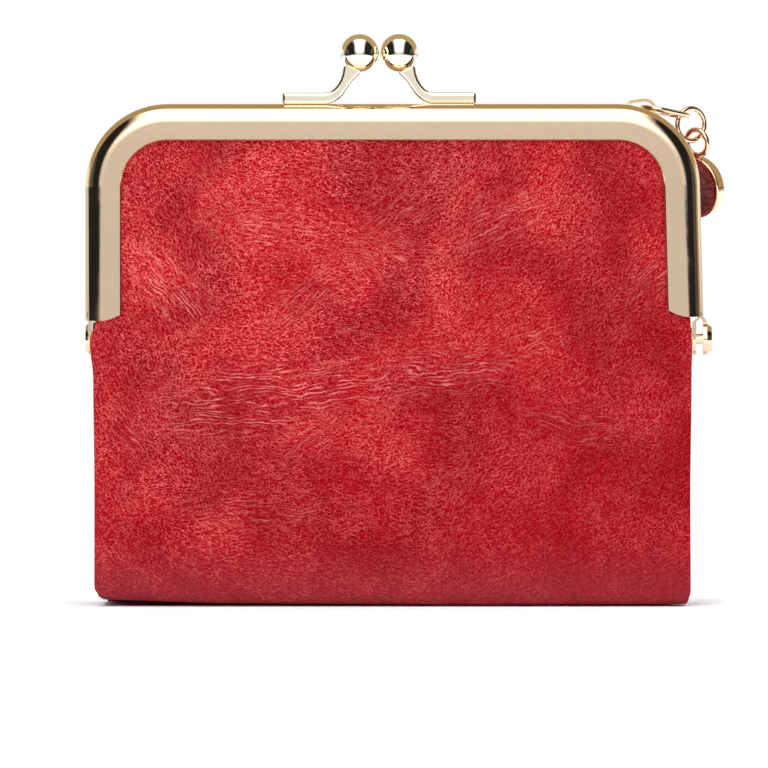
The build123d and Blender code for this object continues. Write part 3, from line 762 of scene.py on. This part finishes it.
# back leather of the zipped pocket, rolled under to meet the base
backSheet = {
    "topZ": 92.2 * mm,
    "corner": 5.0 * mm,
    "halfWidth": 56.6 * mm,
    "skinY": 8.6 * mm,
    "belly": [(0, 0.35), (10, 0.95), (30, 1.5), (62, 0.75), (84, 0.1), (92, 0.0)],
    "sideShare": 0.35,
    "wave": (0.22 * mm, 24 * mm, 5.7),
    "calmTop": (92 * mm, 80 * mm),
    "waist": 0.35 * mm,
    "thickness": 0.95 * mm,
    "wrapBand": (90 * mm, 84 * mm),
    "wrapRadius": 1.1 * mm,
    "wrapForward": 1.4 * mm,
    "leastWrap": 0.05,
    "footIn": 1.2 * mm,
    "footBand": (2.2 * mm, 0.0),
    "rollRadius": 2.0 * mm,
    "rollUnder": 2.4 * mm,
    "footLift": 0.25 * mm,
    "liftBand": (8 * mm, 0.0),
    "grid": (130, 110),
}


def backSkin(x, z):
    b = backSheet
    across = max(0.0, 1 - (abs(x) / b["halfWidth"]) ** 3)
    lift = along(b["belly"], z / mm) * mm * (b["sideShare"] + (1 - b["sideShare"]) * across)
    wave = waveAt(b["wave"], x, z) * across * ease(*b["calmTop"], z)
    return b["skinY"] + lift + wave


def placeBack(across, down):
    b = backSheet
    straight = b["topZ"] - b["rollRadius"]
    quarter = b["rollRadius"] * math.pi / 2
    travel = down * (straight + quarter + b["rollUnder"])
    beyond = travel - straight
    roll = min(math.pi / 2, max(0.0, beyond) / b["rollRadius"])
    z = b["topZ"] - min(travel, straight)
    rolledZ = z - b["rollRadius"] * math.sin(roll)
    half = b["halfWidth"] - cornerCut(b["corner"], b["topZ"] - z)
    foot = b["footIn"] * ease(*b["footBand"], rolledZ)
    half -= b["waist"] * math.sin(math.pi * z / b["topZ"]) + foot
    wrapped = ease(*b["wrapBand"], z) * (1 - math.sin(roll))
    radius = b["wrapRadius"] * max(b["leastWrap"], wrapped)
    forward = b["wrapForward"] * wrapped
    wrap = radius * math.pi / 2 + forward
    run = (2 * across - 1) * (half - radius + wrap)
    flat = half - radius
    past = max(0.0, abs(run) - flat)
    turn = min(math.pi / 2, past / radius)
    extra = max(0.0, past - radius * math.pi / 2)
    side = 1 if run > 0 else -1
    x = side * (min(abs(run), flat) + radius * math.sin(turn))
    y = backSkin(side * min(abs(run), flat), z) - radius * (1 - math.cos(turn)) - extra
    y -= b["rollRadius"] * (1 - math.cos(roll)) + max(0.0, beyond - quarter)
    return Vector((x, y, rolledZ + b["footLift"] * ease(*b["liftBand"], rolledZ)))


def buildBack():
    b = backSheet
    size = (2 * b["halfWidth"], b["topZ"])
    hide = (plainHide, b["thickness"])
    piece = makeSheet("back_leather", b["grid"], placeBack, *hide, (0, 1, 0), size)
    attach(piece, "purse_body")
    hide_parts("back_panel")


# walls between the two pockets
wallSheets = {
    "pocketFront": {
        "y": 1.1 * mm, "lowY": 0.15 * mm, "halfWidth": 56.3 * mm, "thickness": 0.8 * mm,
    },
    "centre": {"y": -1.1 * mm, "halfWidth": 56.5 * mm, "thickness": 1.2 * mm},
    "stepBand": (48 * mm, 56 * mm),
    "tuckBand": (52 * mm, 58 * mm),
    "lowZ": 1.3 * mm,
    "wave": (0.05 * mm, 16 * mm, 1.4),
    "size": (114 * mm, 91 * mm),
    "grid": (70, 60),
}


def pocketFrontY(z):
    # behind the frame's legs, then forward to lie on the centre wall
    w = wallSheets["pocketFront"]
    return w["lowY"] + (w["y"] - w["lowY"]) * ease(*wallSheets["stepBand"], z)


def placePocketFront(across, down):
    top = backSheet["topZ"]
    z = top - down * (top - wallSheets["lowZ"])
    half = wallSheets["pocketFront"]["halfWidth"] - cornerCut(backSheet["corner"], top - z)
    x = half * (2 * across - 1)
    return Vector((x, pocketFrontY(z) + waveAt(wallSheets["wave"], x, z), z))


def placeCentre(across, down):
    w = wallSheets["centre"]
    top = frontSheet["topZ"]
    z = top - down * (top - wallSheets["lowZ"])
    tuckTop = outline["topZ"] - outline["tuck"]
    cut = cornerCut(outline["corner"] - outline["tuck"], tuckTop - z)
    tucked = ease(*wallSheets["tuckBand"], z)
    left = -w["halfWidth"] * (1 - tucked) + (outline["leftX"] + outline["tuck"] + cut) * tucked
    right = w["halfWidth"] * (1 - tucked) + (rightEdge(z) - outline["tuck"] - cut) * tucked
    return Vector((left + (right - left) * across, w["y"], z))


def buildWalls():
    w = wallSheets
    walls = (
        ("pocket_front_leather", "pocket_front_panel", placePocketFront, w["pocketFront"]),
        ("centre_leather", "centre_panel", placeCentre, w["centre"]),
    )
    for name, node, place, wall in walls:
        hide = (plainHide, wall["thickness"])
        piece = makeSheet(name, w["grid"], place, *hide, (0, -1, 0), w["size"])
        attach(piece, "purse_body")
        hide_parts(node)


# side walls of the zipped pocket, creased inwards, up and over to the zip's ends
pocketSide = {
    "lowZ": 1.5 * mm,
    "halfWidth": 56.4 * mm,
    "mouthX": {-1: 50.0 * mm, 1: 53.2 * mm},
    "crease": 1.5 * mm,
    "creasePower": 1.4,
    "calmEnds": (9 * mm, 6 * mm),
    "backTop": 92 * mm,
    "thickness": 0.8 * mm,
    "width": 6 * mm,
    "grid": (12, 90),
}


def placePocketSide(side):
    p = pocketSide
    corner = backSheet["corner"]
    rise = backSheet["topZ"] - corner - p["lowZ"]
    centreX = p["halfWidth"] - corner
    mouth = p["mouthX"][side] - centreX
    sweep = math.acos(max(0.0, mouth) / corner)
    flat = max(0.0, -mouth)
    length = rise + corner * sweep + flat

    def place(across, down):
        travel = (1 - down) * length
        z = p["lowZ"] + min(travel, rise)
        turn = min(sweep, max(0.0, travel - rise) / corner)
        level = max(0.0, travel - rise - corner * sweep)
        pull = p["crease"] * math.sin(math.pi * across) ** p["creasePower"]
        pull *= ease(0, p["calmEnds"][0], length - travel) * ease(0, p["calmEnds"][1], travel)
        x = centreX + (corner - pull) * math.cos(turn) - level
        z += (corner - pull) * math.sin(turn)
        backY = backSkin(p["halfWidth"], min(z, p["backTop"])) - backSheet["thickness"]
        frontY = pocketFrontY(z) + wallSheets["pocketFront"]["thickness"]
        y = frontY + (backY - frontY) * across
        return Vector((side * x, y, z))

    return place, length


def buildPocketSides():
    p = pocketSide
    for side, label in ((-1, "left"), (1, "right")):
        place, length = placePocketSide(side)
        size = (p["width"], length)
        name = label + "_pocket_side"
        piece = makeSheet(name, p["grid"], place, plainHide, p["thickness"], (side, 0, 0), size)
        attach(piece, "purse_body")
        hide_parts(label + "_pocket_gusset")


# creased side folds of the coin compartment
coinSide = {
    "backY": -1.2 * mm,
    "nearX": 50 * mm,
    "lowerGap": 0.1 * mm,
    "upperGap": 0.15 * mm,
    # stops in millimetres: height, then how far out
    "lower": {
        "z": (1.4 * mm, 51.0 * mm),
        "outer": [(0, 55.9), (40, 55.9), (50, 52.2)],
        "apex": [(0, 50.8), (40, 50.6), (50, 48.0)],
    },
    "upper": {
        "z": (48.5 * mm, 88.0 * mm),
        "outer": [(48, 51.6), (88, 51.6)],
        "apex": [(48, 47.4), (88, 47.0)],
    },
    "foldPower": 1.2,
    "thickness": 0.6 * mm,
    "width": 11 * mm,
    "grid": (16, 40),
}


def placeCoinSide(side, part):
    g = coinSide[part]
    lowZ, highZ = g["z"]

    def place(across, down):
        z = highZ - down * (highZ - lowZ)
        frontY = frontSurface(side * coinSide["nearX"], z) + frontSheet["thickness"]
        frontY += coinSide["lowerGap"]
        if part == "upper":
            frontY = frontSheet["tuckedY"] + frontSheet["thickness"] + coinSide["upperGap"]
        y = frontY + (coinSide["backY"] - frontY) * across
        outer, apex = along(g["outer"], z / mm), along(g["apex"], z / mm)
        fold = math.sin(math.pi * across) ** coinSide["foldPower"]
        return Vector((side * (outer - (outer - apex) * fold) * mm, y, z))

    return place


def buildCoinSides():
    g = coinSide
    for side, label in ((-1, "left"), (1, "right")):
        for part in ("lower", "upper"):
            lowZ, highZ = g[part]["z"]
            size = (g["width"], highZ - lowZ)
            name = label + "_side_fold_" + part
            place = placeCoinSide(side, part)
            piece = makeSheet(name, g["grid"], place, plainHide, g["thickness"], (side, 0, 0), size)
            if part == "lower":
                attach(piece, "purse_body")
            else:
                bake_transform(piece)
            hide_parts(label + "_gusset_" + part)


# cloth linings
liningSheet = {
    "halfWidth": 46 * mm,
    "topZ": 88 * mm,
    "lowZ": 1.6 * mm,
    "frontY": -6.38 * mm,
    "backY": -1.32 * mm,
    "wave": (0.08 * mm, 11 * mm),
    "seedPerMetre": 900,
    "thickness": 0.22 * mm,
    "grid": (60, 60),
}


def placeLining(y):
    def place(across, down):
        n = liningSheet
        z = n["topZ"] - down * (n["topZ"] - n["lowZ"])
        x = n["halfWidth"] * (2 * across - 1)
        return Vector((x, y + waveAt((*n["wave"], y * n["seedPerMetre"]), x, z), z))

    return place


def buildLinings():
    n = liningSheet
    cloth = [liningCloth, liningCloth, liningCloth]
    size = (2 * n["halfWidth"], n["topZ"] - n["lowZ"])
    sides = (
        ("front", n["frontY"], (0, 1, 0), "front_panel_upper"),
        ("back", n["backY"], (0, -1, 0), "centre_panel"),
    )
    for label, y, facing, wall in sides:
        name = "coin_lining_" + label
        place = placeLining(y)
        piece = makeSheet(name + "_cloth", n["grid"], place, cloth, n["thickness"], facing, size)
        if label == "front":
            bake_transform(piece)
        else:
            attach(piece, "purse_body")
        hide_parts(name)


# pocket lining, a cloth bag hung below the zip
liningBag = {
    "halfWidth": 54 * mm,
    "frontY": 2.15 * mm,
    "backY": 7.3 * mm,
    "lowZ": 2.0 * mm,
    "topZ": 89.0 * mm,
    "wave": (0.05 * mm, 12 * mm, 4.4),
    "thickness": 0.22 * mm,
    "grid": (50, 90),
}


def buildLiningBag():
    g = liningBag
    height = g["topZ"] - g["lowZ"]
    radius = (g["backY"] - g["frontY"]) / 2
    bottom = radius * math.pi / 2
    size = (g["halfWidth"] * 2, 2 * (height - radius + bottom))

    def place(across, down):
        # down one wall, round the bottom and up the other
        travel = (2 * down - 1) * (height - radius + bottom)
        side = 1 if travel > 0 else -1
        x = g["halfWidth"] * (2 * across - 1)
        middle = (g["frontY"] + g["backY"]) / 2
        if abs(travel) < bottom:
            turn = travel / radius
            z = g["lowZ"] + radius * (1 - math.cos(turn))
            return Vector((x, middle + radius * math.sin(turn), z))
        z = g["lowZ"] + radius + abs(travel) - bottom
        return Vector((x, middle + side * radius + waveAt(g["wave"], x, z), z))

    cloth = ([liningCloth, liningCloth, liningCloth], g["thickness"])
    piece = makeSheet("pocket_lining_cloth", g["grid"], place, *cloth, (0, 0, -1), size)
    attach(piece, "purse_body")
    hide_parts("pocket_lining")


# zip
zipSetting = {
    "leftX": -49.4 * mm,
    "rightX": 52.6 * mm,
    "tapeZ": 91.75 * mm,
    "tapeThickness": 0.35 * mm,
    "tapeWave": (0.04 * mm, 5 * mm, 2.0),
    "tapeGrid": (120, 4),
    "tapes": {"front": (1.9 * mm, 3.6 * mm), "rear": (6.2 * mm, 7.7 * mm)},
    "firstTooth": -46.4 * mm,
    "teeth": 47,
    "pitch": 2.0 * mm,
    "toothZ": 91.9 * mm,
    "tooth": (0.95 * mm, 1.7 * mm, 1.35 * mm),
    "toothEdge": 0.22 * mm,
    "toothRows": {"front": (4.5 * mm, 0.0), "rear": (5.3 * mm, 1.0 * mm)},
}


def buildTapes():
    q = zipSetting
    cloth = ([tapeCloth, tapeCloth, tapeCloth], q["tapeThickness"])
    for row, (low, high) in q["tapes"].items():

        def place(across, down):
            x = q["leftX"] + (q["rightX"] - q["leftX"]) * across
            y = high + (low - high) * down
            return Vector((x, y, q["tapeZ"] + q["tapeThickness"] + waveAt(q["tapeWave"], x, y)))

        size = (q["rightX"] - q["leftX"], high - low)
        name = "zip_tape_" + row
        piece = makeSheet(name + "_cloth", q["tapeGrid"], place, *cloth, (0, 0, 1), size)
        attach(piece, "purse_body")
        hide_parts(name)


def buildTeeth():
    q = zipSetting
    for row, (toothY, shift) in q["toothRows"].items():
        bm = bmesh.new()
        for index in range(q["teeth"]):
            made = bmesh.ops.create_cube(bm, size=1.0)["verts"]
            bmesh.ops.scale(bm, vec=q["tooth"], verts=made)
            place = (q["firstTooth"] + index * q["pitch"] + shift, toothY, q["toothZ"])
            bmesh.ops.translate(bm, vec=place, verts=made)
        edges = bm.edges[:]
        bmesh.ops.bevel(
            bm, geom=edges, offset=q["toothEdge"], segments=2, profile=0.5, affect="EDGES",
            material=-1,
        )
        piece = finishMesh("zip_teeth_" + row + "_row", bm, [zipPlate])
        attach(piece, "purse_body")
        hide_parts("zip_teeth_" + row)


def buildFront():
    s = frontSheet
    size = (s["flatWidth"], s["topZ"] + s["rollUnder"])
    hide = ([frontLeather, paintedEdge, liningCloth], s["thickness"])
    piece = makeSheet("front_leather", s["grid"], placeFront, *hide, (0, -1, 0), size)
    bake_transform(piece)
    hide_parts("front_panel_upper", "front_panel_fold", "front_panel_lower")
    return piece


buildFront()
print("front leather made")
buildBase()
buildBack()
buildWalls()
buildPocketSides()
buildCoinSides()
buildLinings()
buildLiningBag()
print("pockets made")
buildTapes()
buildTeeth()
print("zip made")

# parts that keep their CAD shape
cadFinish = {
    framePlate: ("front_frame", "rear_frame", "left_hinge_rivet", "right_hinge_rivet",
                 "left_hinge_washer", "right_hinge_washer", "pull_link", "pull_ring",
                 "pendant_cup", "pendant_bail"),
    palePlate: ("front_clasp", "rear_clasp"),
    zipPlate: ("zip_bottom_stop", "zip_top_stops", "zip_slider", "slider_bridge"),
    inlayResin: ("pendant_inlay",),
    paperCord: ("front_frame_cord", "rear_frame_cord"),
}
for material, names in cadFinish.items():
    for name in names:
        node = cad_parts[name]
        node.data.materials.clear()
        node.data.materials.append(material)

# camera
cameraSetting = {
    "distance": 2.5,
    "pictureWidth": 148.65 * mm,
    "aim": (-1.55 * mm, -9.0 * mm, 43.2 * mm),
    "elevation": 2.5,
    "sensor": 36.0,
}


def makeCamera():
    c = cameraSetting
    data = bpy.data.cameras.new("camera")
    data.sensor_width = c["sensor"]
    data.lens = c["distance"] * c["sensor"] / c["pictureWidth"]
    data.clip_end = 50
    camera = bpy.data.objects.new("camera", data)
    bpy.context.scene.collection.objects.link(camera)
    tilt = math.radians(c["elevation"])
    away = Vector((0, -math.cos(tilt), math.sin(tilt)))
    camera.location = Vector(c["aim"]) + away * c["distance"]
    camera.rotation_euler = (-away).to_track_quat("-Z", "Y").to_euler()
    bpy.context.scene.camera = camera


# floor, lamps and world
# ranges are in metres on the floor, and along the direction's axes in the world
stageSetting = {
    "floorSize": 8.0,
    "floorWhite": 0.94,
    "footprint": (58 * mm, 9 * mm),
    "contact": (1.5 * mm, 22 * mm),
    "lift": 0.32,
    "farFrom": (0.25, 0.7),
    "mirrorFrom": (0.15, 0.25),
    "mirrorLane": (0.22, 0.8),
    "laneAhead": 0.12,
    "laneBehind": 2.4,
    "mirrorNear": (0.3, 0.9, 1.9, 0.75),
    "worldLight": 0.42,
    "sideDark": 0.02,
    "sideLine": (0.97, 0.07, 0.12),
    "window": (0.24, 0.56),
    "windowRise": (0.06, 0.34, 0.9, 2.2),
    "turnBack": (0.02, 0.2),
    "lowBehind": (0.1, 0.24, 1.0, 0.0),
    "farBehind": (0.34, 0.44),
    "behindLevel": 1.1,
    "amber": (0.5, (1.0, 0.76, 0.42, 1)),
    "lampAim": (0, 0, 0.05),
    "lamps": {
        "keyLamp": ((-0.35, -0.8, 0.75), (0.6, 0.6), 4.6),
        "fillLamp": ((0.6, -0.7, 0.4), (0.5, 0.5), 1.8),
        "topLamp": ((0.0, -0.1, 1.1), (1.2, 1.0), 11.0),
    },
}


def mirrorRays(tree):
    seen = put(tree, "LightPath").outputs
    mirror = maths(tree, "MAXIMUM", seen["Is Glossy Ray"], seen["Is Transmission Ray"])
    return seen["Is Camera Ray"], mirror


def glow(tree, strength):
    return put(tree, "Emission", {"Color": (1, 1, 1, 1), "Strength": strength}).outputs[0]


def mixShader(tree, share, first, second):
    return put(tree, "MixShader", {0: share, 1: first, 2: second}).outputs[0]


def makeFloor():
    s = stageSetting
    bm = bmesh.new()
    bmesh.ops.create_grid(bm, x_segments=2, y_segments=2, size=s["floorSize"] / 2)
    material, tree, shader = newMaterial("floor", roughness=0.9, Specular_IOR_Level=0.1)
    shader.inputs["Base Color"].default_value = (*[s["floorWhite"]] * 3, 1)
    camera, mirror = mirrorRays(tree)
    place = put(tree, "TexCoord").outputs["Object"]
    parts = axesOf(tree, place)
    sideways = maths(tree, "ABSOLUTE", parts[0])
    depthways = maths(tree, "ABSOLUTE", parts[1])
    gapX = maths(tree, "SUBTRACT", sideways, s["footprint"][0])
    gapY = maths(tree, "SUBTRACT", depthways, s["footprint"][1])
    gap = maths(tree, "MAXIMUM", gapX, gapY)
    far = put(tree, "VectorMath", {0: place}, operation="LENGTH").outputs["Value"]

    # the camera sees the lit white floor plus a painted glow, held back close round the purse's
    # footprint so the floor there stays darker as painted shade, and pure white far off
    lift = multiply(tree, multiply(tree, rangeOf(tree, gap, *s["contact"]), s["lift"]), camera)
    lit = put(tree, "AddShader", {0: shader.outputs[0], 1: glow(tree, lift)}).outputs[0]
    rim = multiply(tree, rangeOf(tree, far, *s["farFrom"]), camera)
    seen = mixShader(tree, rim, lit, glow(tree, 1.0))

    # bright metal sees it white in front and behind, dark out to the sides
    ahead = multiply(tree, depthways, s["laneAhead"])
    lane = maths(tree, "MAXIMUM", ahead, multiply(tree, parts[1], s["laneBehind"]))
    lane = rangeOf(tree, maths(tree, "SUBTRACT", sideways, lane), *s["mirrorLane"])
    mirrored = glow(tree, mixValue(tree, lane, rangeOf(tree, far, *s["mirrorNear"]), s["sideDark"]))
    farMirror = multiply(tree, rangeOf(tree, far, *s["mirrorFrom"]), mirror)
    seen = mixShader(tree, farMirror, seen, mirrored)
    tree.links.new(seen, tree.nodes["Material Output"].inputs["Surface"])
    finishMesh("floor", bm, [material])


def makeWorld():
    s = stageSetting
    world = bpy.data.worlds.new("studio")
    bpy.context.scene.world = world
    world.use_nodes = True
    tree = world.node_tree
    background = tree.nodes["Background"]
    parts = axesOf(tree, put(tree, "TexCoord").outputs["Generated"])
    sideways = maths(tree, "ABSOLUTE", parts[0])
    camera, mirror = mirrorRays(tree)

    # bright metal sees a tall window in front, and dark sides with one faint line
    rising = rangeOf(tree, parts[2], *s["windowRise"])
    window = multiply(tree, rising, rangeOf(tree, parts[1], *s["turnBack"], 1.0, 0.0))
    lineAt, lineWidth, lineLevel = s["sideLine"]
    fromLine = maths(tree, "ABSOLUTE", maths(tree, "SUBTRACT", sideways, lineAt))
    sides = rangeOf(tree, fromLine, 0.0, lineWidth, lineLevel, s["sideDark"])
    # amber light behind and above, and white low down behind
    amberLevel, amberTint = s["amber"]
    turned = rangeOf(tree, parts[1], *s["turnBack"])
    amber = multiply(tree, turned, amberLevel)
    strip = rangeOf(tree, sideways, *s["window"])
    level = mixValue(tree, strip, window, maths(tree, "MAXIMUM", sides, amber))
    level = maths(tree, "MAXIMUM", level, amber)
    lowDown = rangeOf(tree, parts[2], *s["lowBehind"])
    behind = multiply(tree, rangeOf(tree, parts[1], *s["farBehind"]), lowDown)
    level = mixValue(tree, behind, level, s["behindLevel"])
    tinted = multiply(tree, multiply(tree, turned, mirror), maths(tree, "SUBTRACT", 1.0, behind))
    tree.links.new(mixColour(tree, tinted, (1, 1, 1, 1), amberTint), background.inputs["Color"])
    # other rays light the scene evenly, and the camera sees white
    level = mixValue(tree, mirror, s["worldLight"], level)
    tree.links.new(mixValue(tree, camera, level, 1.0), background.inputs["Strength"])


def addLamp(name, place, size, power):
    data = bpy.data.lights.new(name, "AREA")
    data.shape = "RECTANGLE"
    data.size, data.size_y = size
    data.energy = power
    lamp = bpy.data.objects.new(name, data)
    bpy.context.scene.collection.objects.link(lamp)
    lamp.location = place
    aim = Vector(stageSetting["lampAim"])
    lamp.rotation_euler = (aim - Vector(place)).to_track_quat("-Z", "Y").to_euler()
    lamp.visible_glossy = False


makeCamera()
makeFloor()
makeWorld()
for lampName, (lampPlace, lampSize, lampPower) in stageSetting["lamps"].items():
    addLamp(lampName, lampPlace, lampSize, lampPower)
bpy.context.scene.view_settings.view_transform = "Standard"
print("stage set")
